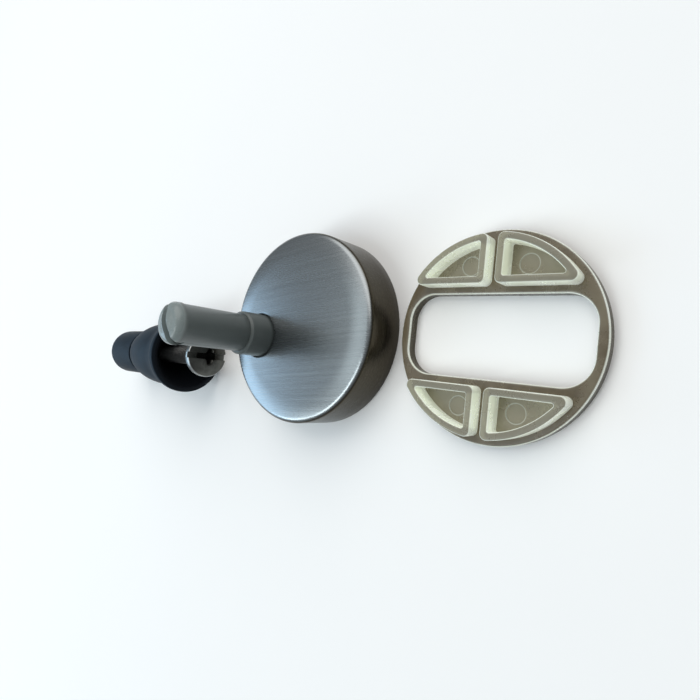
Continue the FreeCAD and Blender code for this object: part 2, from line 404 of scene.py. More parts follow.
@dataclass(frozen=True)
class ClearMoulding(Finish):
    """Soft translucent moulding: brown on its level faces, with its upright walls painted pale above a
    painted dark skirt and given a painted glow by emission, standing in for light through them.
    """

    place: Matrix
    plate: Colour = (0.152, 0.116, 0.070)
    plate_pale: Colour = (0.24, 0.197, 0.127)
    floor: Colour = (0.39, 0.36, 0.27)
    land: Colour = (0.29, 0.262, 0.188)
    # side is a painted light colour for the upright walls, and also draws the ejector rings.
    side: Colour = (0.85, 0.88, 0.80)
    # glow and dim feed an emission that is a painted glow, though the moulding is no lamp.
    glow: Colour = (0.225, 0.236, 0.214)
    dim: Colour = (0.16, 0.168, 0.125)
    unlit: Colour = (0.0, 0.0, 0.0)
    # skirt is painted shade on the plate's own low sides.
    skirt: Colour = (0.095, 0.078, 0.046)
    lit_heights: Span = (2.2, 2.5)
    plate_heights: Span = (2.5, 2.9)
    land_heights: Span = (3.5, 6.8)
    level_slopes: Span = (0.6, 0.97)
    plate_tones: Span = (0.3, 0.75)
    glow_tones: Span = (0.3, 0.7)
    mark_at: Point = (15.3, 6.49)
    mark_radius: float = 2.1
    mark_line: float = 0.14
    mark_share: float = 0.55
    cloud: Mottle = Mottle((6.0, 6.0, 6.0), 3.0)
    cloud_roughness: float = 0.16
    flow: Mottle = Mottle((1.1, 1.1, 2.2), 3.0, 0.6)
    flow_roughness: float = 0.06
    flow_relief: float = 0.6
    roughness: float = 0.16
    relief: Relief = (0.05 * MM, 0.15)

    def mark(self, graph: ShaderGraph) -> Value:
        """The fine rings that the ejectors leave on the floors of the four tubs.

        Args:
            graph: The material's tree.

        Returns:
            1 on a ring's line and 0 away from it.
        """
        x, y, _ = graph.place_on(self.place)
        across = graph.math("ABSOLUTE", x) - self.mark_at[0]
        along = graph.math("ABSOLUTE", y) - self.mark_at[1]
        reach = graph.math("SQRT", across * across + along * along)
        return 1 - graph.math("ABSOLUTE", reach - self.mark_radius).ramp(self.mark_line / 2, self.mark_line)

    def material(self) -> bpy.types.Material:
        """Builds the node tree.

        Returns:
            The material.
        """
        graph = ShaderGraph(self.name)
        place = graph.place()
        height = place[2]
        cloud = graph.mottle(place, self.cloud)
        flow = graph.mottle(place, self.flow)
        level = graph.facing().ramp(*self.level_slopes)
        plate = graph.blend(cloud.ramp(*self.plate_tones), self.plate, self.plate_pale)
        clouded = graph.blend(cloud, self.floor, self.plate_pale)
        floor = graph.blend(self.mark(graph) * self.mark_share, clouded, self.side)
        top = graph.blend(height.ramp(*self.land_heights), plate, self.land)
        # lit splits the uprights by height into painted light above and painted shade below.
        lit = height.ramp(*self.lit_heights)
        upright = graph.blend(lit, self.skirt, self.side)
        flat = graph.blend(height.ramp(*self.plate_heights), floor, top)
        glow = graph.blend(cloud.ramp(*self.glow_tones), self.dim, self.glow)
        return graph.finish(
            Base_Color=graph.blend(level, upright, flat),
            # The upright walls' emission is a painted glow.
            Emission_Color=graph.blend(lit * (1 - level), self.unlit, glow),
            Emission_Strength=1.0,
            Roughness=self.roughness + cloud * self.cloud_roughness + flow * self.flow_roughness,
            Transmission_Weight=0.3,
            IOR=1.48,
            Normal=graph.bump(flow * self.flow_relief + cloud * (1 - self.flow_relief), *self.relief),
        )


@dataclass(frozen=True)
class MattRubber(Finish):
    """Black rubber with a dull skin, and dust with a painted bluish sheen on its upward faces outside its
    funnel mouth.
    """

    place: Matrix
    mouth: float
    taper: float
    base: Colour = (0.0025, 0.004, 0.0065)
    # Partly dust and partly a painted bluish sheen on the faces that look up.
    dust_and_sheen: Colour = (0.019, 0.035, 0.054)
    dust_and_sheen_tones: Span = (-0.4, 1.2)
    dust_and_sheen_slopes: Span = (-0.1, 0.7)
    dust_roughness: float = 0.16
    mouth_edge: Span = (0.2, 0.8)
    mouth_roughness: float = 0.35
    cloud: Mottle = Mottle((4.0, 4.0, 4.0), 4.0, 0.6)
    skin: Mottle = Mottle((0.3, 0.3, 0.3))
    skin_roughness: float = 0.1
    skin_relief: float = 0.7
    roughness: float = 0.46
    relief: Relief = (0.03 * MM, 0.5)

    def material(self) -> bpy.types.Material:
        """Builds the node tree.

        Returns:
            The material.
        """
        graph = ShaderGraph(self.name)
        place = graph.place()
        cloud = graph.mottle(place, self.cloud)
        skin = graph.mottle(place, self.skin)
        x, y, out = graph.place_on(self.place)
        funnel = self.mouth / MM + out * self.taper
        outer = (graph.math("SQRT", x * x + y * y) - funnel).ramp(*self.mouth_edge)
        # Dust and a painted sheen on the upward faces, outside the mouth.
        dust_and_sheen_share = cloud.ramp(*self.dust_and_sheen_tones) * graph.facing().ramp(*self.dust_and_sheen_slopes) * outer
        uneven = dust_and_sheen_share * self.dust_roughness + (skin - 0.5) * self.skin_roughness
        return graph.finish(
            Base_Color=graph.blend(dust_and_sheen_share, self.base, self.dust_and_sheen),
            Roughness=self.roughness + uneven + (1 - outer) * self.mouth_roughness,
            Specular_IOR_Level=0.12,
            Normal=graph.bump(skin * self.skin_relief + cloud * (1 - self.skin_relief), *self.relief),
        )


@dataclass(frozen=True)
class StainedMetal(Finish):
    """Turned brass with faint stains, and the base of metals that stain alike."""

    bright: Colour = (0.72, 0.55, 0.26)
    dull: Colour = (0.50, 0.36, 0.15)
    stain: Mottle = Mottle((2.5, 2.5, 2.5), 4.0, 0.6)
    stain_tones: Span = (0.35, 0.75)
    stain_roughness: float = 0.14
    fine: Mottle = Mottle((0.25, 0.25, 0.25))
    fine_roughness: float = 0.08
    roughness: float = 0.24
    relief: Relief = (0.01 * MM, 0.4)

    def stained(self, graph: ShaderGraph) -> tuple[Value, Value, Value]:
        """The stained metal.

        Args:
            graph: The material's tree.

        Returns:
            Its colour, its roughness and its normal.
        """
        place = graph.place()
        stain = graph.mottle(place, self.stain)
        fine = graph.mottle(place, self.fine)
        colour = graph.blend(stain.ramp(*self.stain_tones), self.bright, self.dull)
        uneven = stain * self.stain_roughness + (fine - 0.5) * self.fine_roughness
        return colour, self.roughness + uneven, graph.bump(fine, *self.relief)

    def material(self) -> bpy.types.Material:
        """Builds the node tree.

        Returns:
            The material.
        """
        graph = ShaderGraph(self.name)
        colour, roughness, normal = self.stained(graph)
        return graph.finish(Base_Color=colour, Metallic=1.0, Roughness=roughness, Normal=normal)


@dataclass(frozen=True, kw_only=True)
class PlatedScrew(StainedMetal):
    """Zinc plating painted dark as a painted reflection, with a painted highlight on the head's rim, painted
    shade in the head's recess and painted shade on the thread.
    """

    place: Matrix
    pan: PanHead = PanHead()
    # The plating's tones are painted dark, a painted reflection of dark surroundings.
    bright: Colour = (0.105, 0.105, 0.096)
    dull: Colour = (0.06, 0.06, 0.055)
    roughness: float = 0.26
    # A painted highlight on the head's rim, for the bright sky that the rim reflects.
    painted_highlight: Colour = (0.42, 0.43, 0.42)
    painted_highlight_shares: Span = (0.9, 0.98)
    # The thread is painted near black as painted shade, darkest in its roots; its crests keep a plating tone.
    painted_thread_shade: Colour = (0.018, 0.018, 0.018)
    crest: Colour = (0.11, 0.11, 0.108)
    crest_shares: Span = (0.17, 0.22)
    head_heights: Span = (-0.4, 0.0)
    # Painted shade in the head's slot and cross recess, darker with depth below the dome.
    painted_recess_shade: Colour = (0.012, 0.012, 0.011)
    painted_recess_shade_depths: Span = (0.25, 1.1)
    painted_recess_shade_heights: Span = (0.3, 0.5)
    painted_recess_shade_shares: Span = (0.2, 0.3)
    recess_roughness: float = 0.2

    def material(self) -> bpy.types.Material:
        """Builds the node tree.

        Returns:
            The material.
        """
        graph = ShaderGraph(self.name)
        plated, roughness, normal = self.stained(graph)
        x, y, z = graph.place_on(self.place)
        share = (x * x + y * y) / (self.pan.radius / MM) ** 2
        dome = self.pan.height / MM - share * ((self.pan.height - self.pan.edge_height) / MM)
        # How deep a point lies in the slot or the cross, for the painted recess shade.
        deep = (dome - z).ramp(*self.painted_recess_shade_depths) * z.ramp(*self.painted_recess_shade_heights)
        sunk = deep * (1 - share.ramp(*self.painted_recess_shade_shares))
        # The head's rim is given the painted highlight.
        head = graph.blend(share.ramp(*self.painted_highlight_shares), plated, self.painted_highlight)
        # Painted shade on the thread, lighter at the crests.
        thread = graph.blend(share.ramp(*self.crest_shares), self.painted_thread_shade, self.crest)
        metal = graph.blend(z.ramp(*self.head_heights), thread, head)
        return graph.finish(
            Base_Color=graph.blend(sunk, metal, self.painted_recess_shade),
            Metallic=1.0,
            Roughness=roughness + sunk * self.recess_roughness,
            Normal=normal,
        )


@dataclass(frozen=True)
class PaleFloor(Finish):
    """Plain pale floor."""

    colour: Colour = (0.97, 0.955, 0.94)
    shade: Colour = (0.955, 0.94, 0.925)
    cloud: Mottle = Mottle((60.0, 60.0, 1.0))
    cloud_roughness: float = 0.1
    roughness: float = 0.8

    def material(self) -> bpy.types.Material:
        """Builds the node tree.

        Returns:
            The material.
        """
        graph = ShaderGraph(self.name)
        cloud = graph.mottle(graph.place(), self.cloud)
        return graph.finish(
            Base_Color=graph.blend(cloud, self.colour, self.shade),
            Roughness=self.roughness + cloud * self.cloud_roughness,
            Specular_IOR_Level=0.1,
        )


def arc(centre: Point, radius: float, start: float, end: float, steps: int) -> list[Point]:
    """Points along a circular arc of a profile.

    Args:
        centre: Radius and height of the arc's centre.
        radius: The arc's radius.
        start: First angle in degrees, from the outward direction toward up.
        end: Last angle in degrees.
        steps: How many chords make the arc.

    Returns:
        The points, both ends included.
    """
    angles = [math.radians(start + (end - start) * step / steps) for step in range(steps + 1)]
    return [(centre[0] + radius * math.cos(each), centre[1] + radius * math.sin(each)) for each in angles]


def bow(start: Point, end: Point, depth: float, steps: int) -> list[Point]:
    """Points along a shallow curve of a profile.

    Args:
        start: Its first point.
        end: Its last point.
        depth: How far its middle stands out to the right of its run, or in when negative.
        steps: How many chords make the curve.

    Returns:
        The points, both ends included.
    """
    run = Vector(end) - Vector(start)
    side = Vector((run.y, -run.x)).normalized() * depth
    shares = [step / steps for step in range(steps + 1)]
    return [tuple(Vector(start) + run * share + side * 4 * share * (1 - share)) for share in shares]


def dome(wide: float, low: float, top: float, steps: int) -> list[Point]:
    """Points of a domed end of a profile, from just inside its edge to its pole."""
    shares = [1 - (step + 1) / steps for step in range(steps)]
    return [(wide * share, low + (top - low) * (1 - share ** 2)) for share in shares]


def closed_mesh(work: bmesh.types.BMesh) -> bpy.types.Mesh:
    """Turns the faces of a closed shape outward.

    Args:
        work: The shape, which is used up.

    Returns:
        Its mesh.
    """
    bmesh.ops.recalc_face_normals(work, faces=work.faces)
    mesh = bpy.data.meshes.new("work")
    work.to_mesh(mesh)
    work.free()
    return mesh


def skin(rings: Sequence[Sequence[Vector]], looped: bool) -> bpy.types.Mesh:
    """Covers a run of rings with quads, and with triangles at a ring of one point.

    Args:
        rings: Rings of points, all with one count, or with one point at a pole.
        looped: Whether the last ring joins the first.

    Returns:
        A closed mesh.
    """
    work = bmesh.new()
    loops = [[work.verts.new(place) for place in ring] for ring in rings]
    ahead = loops[1:] + loops[:1] if looped else loops[1:]
    for near, far in zip(loops, ahead):
        for step in range(max(len(near), len(far))):
            start, end = ((ring[step % len(ring)], ring[(step + 1) % len(ring)]) for ring in (near, far))
            work.faces.new(dict.fromkeys((*start, *end[::-1])))
    return closed_mesh(work)


def lathe(profile: Sequence[Point], segments: int, looped: bool) -> bpy.types.Mesh:
    """Turns a profile about the Z axis.

    Args:
        profile: Radius and height of each point, with radius 0 at a pole.
        segments: How many faces go round.
        looped: Whether the profile closes on itself.

    Returns:
        A closed mesh.
    """
    angles = [TURN * step / segments for step in range(segments)]
    rings = []
    for radius, height in profile:
        turned = angles if radius > 0 else angles[:1]
        rings.append([Vector((radius * math.cos(each), radius * math.sin(each), height)) for each in turned])
    return skin(rings, looped)


def prism(low: Sequence[Point], high: Sequence[Point], bottom: float, top: float) -> bpy.types.Mesh:
    """A closed shape between two outlines at two heights.

    Args:
        low: The lower outline.
        high: The upper outline, with as many points.
        bottom: Height of the lower outline.
        top: Height of the upper outline.

    Returns:
        A closed mesh.
    """
    work = bmesh.new()
    lower = [work.verts.new((x, y, bottom)) for x, y in low]
    upper = [work.verts.new((x, y, top)) for x, y in high]
    work.faces.new(lower)
    work.faces.new(upper)
    for step in range(len(lower)):
        work.faces.new((lower[step - 1], lower[step], upper[step], upper[step - 1]))
    return closed_mesh(work)


def rectangle(width: float, length: float) -> list[Point]:
    """The corners of a rectangle about the origin."""
    return [(sx * width / 2, sy * length / 2) for sx, sy in ((-1, -1), (1, -1), (1, 1), (-1, 1))]


def shown(name: str, data: bpy.types.ID) -> bpy.types.Object:
    """Puts an object into the scene.

    Args:
        name: The object's name.
        data: Its mesh, lamp or camera.

    Returns:
        The object.
    """
    made = bpy.data.objects.new(name, data)
    bpy.context.scene.collection.objects.link(made)
    return made


def settled(thing: bpy.types.Object) -> bpy.types.Mesh:
    """Works an object's modifiers into a plain mesh.

    Args:
        thing: The object, which is used up.

    Returns:
        The mesh.
    """
    graph = bpy.context.evaluated_depsgraph_get()
    mesh = bpy.data.meshes.new_from_object(thing.evaluated_get(graph))
    bpy.data.objects.remove(thing)
    return mesh


def carved(mesh: bpy.types.Mesh, cutters: Sequence[bpy.types.Mesh], edge: float) -> bpy.types.Mesh:
    """Cuts shapes out of a mesh and rounds the edges that are sharp after that.

    Args:
        mesh: The closed mesh to cut.
        cutters: The closed meshes to take away.
        edge: Width of the rounding.

    Returns:
        The cut mesh.
    """
    thing = shown("carved", mesh)
    tools = [shown("cutter", each) for each in cutters]
    for tool in tools:
        cut = thing.modifiers.new("cut", "BOOLEAN")
        cut.operation = "DIFFERENCE"
        cut.solver = "EXACT"
        cut.object = tool
    soften = thing.modifiers.new("soften", "BEVEL")
    soften.width = edge
    soften.segments = 2
    soften.limit_method = "ANGLE"
    soften.angle_limit = SHARP_ANGLE
    result = settled(thing)
    for tool in tools:
        bpy.data.objects.remove(tool)
    return result


@dataclass
class ThreadRule:
    """A screw thread, wound by geometry nodes on a sheet that is rolled into a closed rod.

    The rod starts at height 0 with a chamfered tip and runs up Z.
    """

    radius: float
    length: float
    pitch: float = 1.0 * MM
    depth: float = 0.58 * MM
    taper: float = 0.8 * MM
    flank: Span = (0.1, 0.9)
    pole: float = 0.0001
    columns: int = 49
    rows_per_turn: int = 14

    def tree(self) -> bpy.types.NodeTree:
        """Builds the node tree.

        Returns:
            The tree, with the thread's sizes as its named inputs.
        """
        graph = Graph(bpy.data.node_groups.new("screw_thread", "GeometryNodeTree"))
        kinds = dict.fromkeys(("Radius", "Length", "Pitch", "Depth", "Taper"), "NodeSocketFloat")
        kinds |= {"Columns": "NodeSocketInt", "Rows": "NodeSocketInt", "Material": "NodeSocketMaterial"}
        for name, kind in kinds.items():
            graph.tree.interface.new_socket(name, in_out="INPUT", socket_type=kind)
        graph.tree.interface.new_socket("Geometry", in_out="OUTPUT", socket_type="NodeSocketGeometry")
        entry = graph.node("NodeGroupInput")
        given = {name: graph.out(entry, name) for name in kinds}
        counts = {"Vertices X": given["Columns"], "Vertices Y": given["Rows"]}
        sheet = graph.node("GeometryNodeMeshGrid", {"Size X": 1.0, "Size Y": 1.0, **counts})
        flat = graph.parts(graph.out(graph.node("GeometryNodeInputPosition")))
        round_share, rise_share = (part + 0.5 for part in flat[:2])
        height = rise_share * given["Length"]
        phase = graph.math("FRACT", height / given["Pitch"] - round_share)
        flank = graph.math("ABSOLUTE", phase * 2 - 1).ramp(*self.flank)
        crest = graph.math("MINIMUM", given["Radius"] - given["Depth"] * flank,
                           given["Radius"] - given["Taper"] + height)
        above = graph.math("GREATER_THAN", rise_share, self.pole)
        below = graph.math("LESS_THAN", rise_share, 1 - self.pole)
        radius = crest * (above * below)
        angle = round_share * TURN
        wound = graph.vector(radius * graph.math("COSINE", angle), radius * graph.math("SINE", angle), height)
        shape = graph.out(sheet, "Mesh")
        for kind, inputs in (
            ("GeometryNodeSetPosition", {"Position": wound}),
            ("GeometryNodeMergeByDistance", {"Distance": WELD}),
            ("GeometryNodeRealizeInstances", {}),
            ("GeometryNodeSetMaterial", {"Material": given["Material"]}),
        ):
            shape = graph.out(graph.node(kind, {"Geometry": shape, **inputs}))
        graph.node("NodeGroupOutput", {"Geometry": shape})
        return graph.tree

    def mesh(self, material: bpy.types.Material) -> bpy.types.Mesh:
        """Winds the thread.

        Args:
            material: What it is made of.

        Returns:
            A plain closed mesh.
        """
        tree = self.tree()
        carrier = shown("thread_carrier", bpy.data.meshes.new("thread_carrier"))
        modifier = carrier.modifiers.new("thread", "NODES")
        modifier.node_group = tree
        rows = 1 + round(self.rows_per_turn * self.length / self.pitch)
        given = {"Radius": self.radius, "Length": self.length, "Pitch": self.pitch, "Depth": self.depth,
                 "Taper": self.taper, "Columns": self.columns, "Rows": rows, "Material": material}
        for item in tree.interface.items_tree:
            if item.in_out == "INPUT":
                modifier[item.identifier] = given[item.name]
        work = bmesh.new()
        work.from_mesh(settled(carrier))
        return closed_mesh(work)


class Layout:
    """Where the groups of pieces lie, worked out from the frame."""

    gasket_turn: ClassVar[float] = math.radians(2.6)

    def __init__(self) -> None:
        """Reads the boxes, mounts and joints of the frame."""
        record = frame["record"]
        mounts = {each["name"]: each for each in record["mounts"]}
        joints = {each["name"]: each for each in record["behaviour"]["joints"]}
        low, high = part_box("cover_cap")
        self.cap_radius = (high.x - low.x) / 2
        self.cap_height = high.z
        self.cap_centre = Vector(((low.x + high.x) / 2, (low.y + high.y) / 2, 0))
        pin = Vector(mounts["seat_pin"]["pos_m"])
        self.pin_radius = mounts["seat_pin"]["dims"]["r_mm"] * MM
        reach = Vector((pin.x, pin.y, 0)) - self.cap_centre
        self.pin_offset = reach.length
        bearing = math.atan2(-reach.x, reach.y)
        self.hinge = Matrix.Translation(self.cap_centre) @ Matrix.Rotation(bearing, 4, "Z")
        low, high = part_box("seat_gasket")
        self.gasket = Matrix.Translation((low + high) / 2) @ Matrix.Rotation(self.gasket_turn, 4, "Z")
        turn = joints["screw_turn"]
        outward = Vector(turn["axis"]).normalized()
        level = Vector((-outward.y, outward.x, 0)).normalized()
        turned = Matrix((level, outward.cross(level), outward)).transposed().to_4x4()
        self.screw = Matrix.Translation(Vector(turn["pos_m"])) @ turned


@dataclass
class Piece:
    """One visible piece, standing for a node of the frame."""

    layout: Layout
    name: ClassVar[str]
    node: ClassVar[str]
    body: ClassVar[Body] = Body.BASE
    slot: ClassVar[Slot]

    def build(self) -> bpy.types.Mesh:
        """The piece's mesh in the row frame."""
        raise NotImplementedError

    def dress(self, finish: bpy.types.Material) -> None:
        """Builds the piece, gives it its finish, hangs it on its body and hides the frame's node.

        Args:
            finish: The piece's material.
        """
        mesh = self.build()
        mesh.name = self.name
        mesh.materials.clear()
        mesh.materials.append(finish)
        mesh.shade_smooth()
        mesh.set_sharp_from_angle(angle=SHARP_ANGLE)
        piece = shown(self.name, mesh)
        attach(piece, self.body.value)
        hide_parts(self.node)
        log.info("%s: %d faces", self.name, len(mesh.polygons))


@dataclass
class CoverCap(Piece):
    """Drawn steel cap with a crowned face, a rounded rim and a hole off its centre."""

    wall: float = 0.7 * MM
    rim_radius: float = 1.4 * MM
    crown: float = 0.3 * MM
    edge_fall: float = 0.32 * MM
    edge_width: float = 5.0 * MM
    edge_tilt: float = 12.0
    hole_radius: float = 6.1 * MM
    hole_edge: float = 0.2 * MM
    hole_burr: float = 0.05 * MM
    foot_edge: float = 0.15 * MM
    wall_step: float = 1.2 * MM
    wall_rings: int = 6
    segments: int = 256
    face_steps: int = 40
    rim_steps: int = 14
    inner_steps: int = 8

    name = "cap_shell"
    node = "cover_cap"
    body = Body.CAP
    slot = Slot.CAP

    def build(self) -> bpy.types.Mesh:
        """Skins the cap, out from the hole's lip and back along the inside.

        Returns:
            The mesh in the row frame.
        """
        radius = self.layout.cap_radius
        rim_at = radius - self.rim_radius
        rim_foot = self.layout.cap_height - self.crown - self.rim_radius
        axis = Vector((0, 0, 1))
        top = axis * self.layout.cap_height
        hole = Vector((0, self.layout.pin_offset, 0))
        turns = [TURN * step / self.segments for step in range(self.segments)]
        rays = [Vector((math.sin(turn), math.cos(turn), 0)) for turn in turns]
        near = [hole + ray * (self.hole_radius + self.hole_edge) for ray in rays]
        rims = [self.meets(hole, ray, rim_at) for ray in rays]

        def crowned(place: Vector, drop: float, fall: float = 0.0) -> Vector:
            """The point of the face at a place, lower by the drop and by a fall toward the rim."""
            edge = max(0.0, (place.length - rim_at) / self.edge_width + 1)
            return place + top - axis * (self.crown * (place.length / rim_at) ** 2 + drop + fall * edge ** 2)

        def round_hole(reach: float, drop: float) -> list[Vector]:
            """A ring about the hole."""
            return [crowned(hole + ray * reach, drop) for ray in rays]

        def face(drop: float, fall: float) -> list[list[Vector]]:
            """Rings from the hole to the rim, on the face or inside it."""
            shares = [step / self.face_steps for step in range(self.face_steps + 1)]
            return [[crowned(a.lerp(b, share), drop, fall) for a, b in zip(near, rims)] for share in shares]

        def round_axis(profile: Sequence[Point]) -> list[list[Vector]]:
            """Rings about the cap's axis, in line with the rays."""
            ways = [place.normalized() for place in rims]
            return [[way * r + axis * z for way in ways] for r, z in profile]

        tilts = [math.pi / 2 * (1 - step / EDGE_STEPS) for step in range(EDGE_STEPS)]
        rings = [round_hole(self.hole_radius + self.hole_edge * (1 - math.sin(tilt)),
                            self.hole_edge * (1 - math.cos(tilt))) for tilt in tilts]
        bend = arc((0, 0), 1, 90 - self.edge_tilt, 0, self.rim_steps)
        first_r, first_z = bend[0]
        reach = self.rim_radius / (1 - first_r)
        rise = (self.rim_radius - self.edge_fall) / first_z
        profile = [(rim_at + reach * (r - first_r), rim_foot + rise * z) for r, z in bend[1:]]
        profile += [(radius, rim_foot - self.wall_step * (step + 1)) for step in range(self.wall_rings)]
        edge = self.foot_edge
        profile += arc((radius - edge, edge), edge, 0, -90, EDGE_STEPS)
        profile += arc((radius - self.wall + edge, edge), edge, -90, -180, EDGE_STEPS)
        profile += arc((rim_at, rim_foot), self.rim_radius - self.wall, 0, 90, self.inner_steps)[:-1]
        rings += face(0, self.edge_fall) + round_axis(profile) + face(self.wall, 0)[::-1]
        rings.append(round_hole(self.hole_radius, self.wall - self.hole_burr))
        mesh = skin(rings, True)
        mesh.transform(self.layout.hinge)
        return mesh

    @staticmethod
    def meets(start: Vector, ray: Vector, radius: float) -> Vector:
        """Where a ray from inside a circle about the axis meets that circle."""
        half = start.dot(ray)
        return start + ray * (math.sqrt(half ** 2 + radius ** 2 - start.length_squared) - half)


@dataclass
class HingePin(Piece):
    """Plastic pin on its stud, with a rounded tip and a slot across it."""

    foot: float = 8.44 * MM
    stud_radius: float = 3.8 * MM
    shoulder: float = 19.0 * MM
    top: float = 40.8 * MM
    tip_length: float = 4.1 * MM
    tip_bead: float = 0.2 * MM
    tip_taper: float = 0.5 * MM
    tip_round: float = 2.1 * MM
    tip_crown: float = 0.7 * MM
    slot_width: float = 1.9 * MM
    slot_depth: float = 4.6 * MM
    slot_turn: float = math.radians(7)
    slot_edge: float = 0.12 * MM
    segments: int = 128
    round_steps: int = 12
    crown_steps: int = 8

    name = "pin_post"
    node = "hinge_pin"
    slot = Slot.MOULDING

    def build(self) -> bpy.types.Mesh:
        """Turns the post and cuts its slot.

        Returns:
            The mesh in the row frame.
        """
        radius = self.layout.pin_radius
        wide = radius + self.tip_bead
        flat = wide - self.tip_round
        rim = self.top - self.tip_crown
        start = self.top - self.tip_length
        profile = [(0, self.foot), (self.stud_radius, self.foot), (self.stud_radius, self.shoulder),
                   (radius, self.shoulder), (radius, start), (wide, start + self.tip_taper)]
        profile += arc((flat, rim - self.tip_round), self.tip_round, 0, 90, self.round_steps)
        profile += dome(flat, rim, self.top, self.crown_steps)
        outline = rectangle(4 * radius, self.slot_width)
        cutter = prism(outline, outline, self.top - self.slot_depth, self.top + radius)
        cutter.transform(Matrix.Rotation(self.slot_turn, 4, "Z"))
        post = carved(lathe(profile, self.segments, False), [cutter], self.slot_edge)
        post.transform(self.layout.hinge @ Matrix.Translation((0, self.layout.pin_offset, 0)))
        return post


class FramePiece(Piece):
    """A piece that keeps the frame's own shape, welded smooth."""

    def build(self) -> bpy.types.Mesh:
        """Welds a copy of the frame's mesh.

        Returns:
            The mesh in the row frame.
        """
        work = bmesh.new()
        work.from_mesh(frame["nodes"][self.node].data)
        bmesh.ops.remove_doubles(work, verts=work.verts, dist=WELD)
        mesh = closed_mesh(work)
        if "custom_normal" in mesh.attributes:
            mesh.attributes.remove(mesh.attributes["custom_normal"])
        return mesh


class BasePlate(FramePiece):
    """Moulded base, of which the boss round the pin shows."""

    name = "base_moulding"
    node = "base_plate"
    slot = Slot.MOULDING


class SeatGasket(FramePiece):
    """Translucent gasket with its slot and four tubs."""

    name = "gasket_moulding"
    node = "seat_gasket"
    slot = Slot.GASKET


class PlugNut(FramePiece):
    """Brass nut inside the plug's nose."""

    name = "nut_turning"
    node = "plug_nut"
    slot = Slot.NUT


@dataclass
class ExpansionPlug(Piece):
    """Rubber plug with a flange, a barrel, a neck and a nose, bored for the screw and its nut."""

    standout: float = 10.8 * MM
    length: float = 47.0 * MM
    flange: float = 11.9 * MM
    flange_lip: float = 1.6 * MM
    lip_turn: float = -60.0
    flare: float = 0.42 * MM
    mouth: float = 10.3 * MM
    mouth_depth: float = 14.0 * MM
    waist: float = 10.25 * MM
    waist_at: float = 9.0 * MM
    swell: float = 0.8 * MM
    barrel_end: float = 8.0 * MM
    barrel_end_at: float = 27.4 * MM
    barrel_edge: float = 0.4 * MM
    neck: float = 6.8 * MM
    neck_length: float = 1.6 * MM
    nose: float = 7.7 * MM
    nose_edge: float = 1.8 * MM
    edge: float = 0.25 * MM
    bore: float = 3.4 * MM
    nut_ends: Point = (32.98 * MM, 45.02 * MM)
    nut_flange: float = 1.64 * MM
    nut_radii: Point = (5.72 * MM, 4.92 * MM)
    segments: int = 192
    rim_steps: int = 4
    flare_steps: int = 14
    swell_steps: int = 20
    barrel_steps: int = 6
    nose_steps: int = 8

    name = "plug_rubber"
    node = "expansion_plug"
    slot = Slot.RUBBER

    @property
    def taper(self) -> float:
        """How much the funnel of the mouth narrows with depth."""
        return (self.mouth - self.bore) / self.mouth_depth

    @property
    def place(self) -> Matrix:
        """The frame in the middle of the mouth, with Z pointing out of it."""
        return self.layout.screw @ Matrix.Translation((0, 0, -self.standout))

    def outside(self) -> list[Point]:
        """Draws the outer side.

        Returns:
            The profile from the mouth's edge over the flange to the nose.
        """
        edge = self.edge
        waist = (self.waist, -self.waist_at)
        barrel_foot = self.barrel_edge - self.barrel_end_at
        neck_end = self.barrel_end_at + self.neck_length
        profile = [(self.mouth, 0.0)]
        profile += arc((self.flange - edge, -edge), edge, 90, 0, self.rim_steps)
        profile += arc((self.flange - edge, edge - self.flange_lip), edge, 0, self.lip_turn, EDGE_STEPS)
        profile += bow(profile.pop(), waist, self.flare, self.flare_steps)
        profile += bow(waist, (self.barrel_end, barrel_foot), -self.swell, self.swell_steps)[1:]
        centre = (self.barrel_end - self.barrel_edge, barrel_foot)
        profile += arc(centre, self.barrel_edge, 0, -90, self.barrel_steps)[1:]
        profile += arc((self.neck + edge, -self.barrel_end_at - edge), edge, 90, 180, EDGE_STEPS)
        profile += arc((self.neck + edge, edge - neck_end), edge, 180, 270, EDGE_STEPS)
        profile += arc((self.nose - edge, -neck_end - edge), edge, 90, 0, EDGE_STEPS)
        centre = (self.nose - self.nose_edge, self.nose_edge - self.length)
        profile += arc(centre, self.nose_edge, 0, -90, self.nose_steps)
        return profile

    def inside(self) -> list[Point]:
        """Draws the bore, with the seat of the nut.

        Returns:
            The profile from the nose back to the funnel's foot.
        """
        near, far = self.nut_ends
        wide, slim = self.nut_radii
        near_step, far_step = near + self.nut_flange, far - self.nut_flange
        steps = [(self.bore, self.length), (self.bore, far), (wide, far), (wide, far_step), (slim, far_step),
                 (slim, near_step), (wide, near_step), (wide, near), (self.bore, near),
                 (self.bore, self.mouth_depth)]
        return [(radius, -depth) for radius, depth in steps]

    def build(self) -> bpy.types.Mesh:
        """Turns the plug.

        Returns:
            The mesh in the row frame.
        """
        sleeve = lathe(self.outside() + self.inside(), self.segments, True)
        sleeve.transform(self.place)
        return sleeve


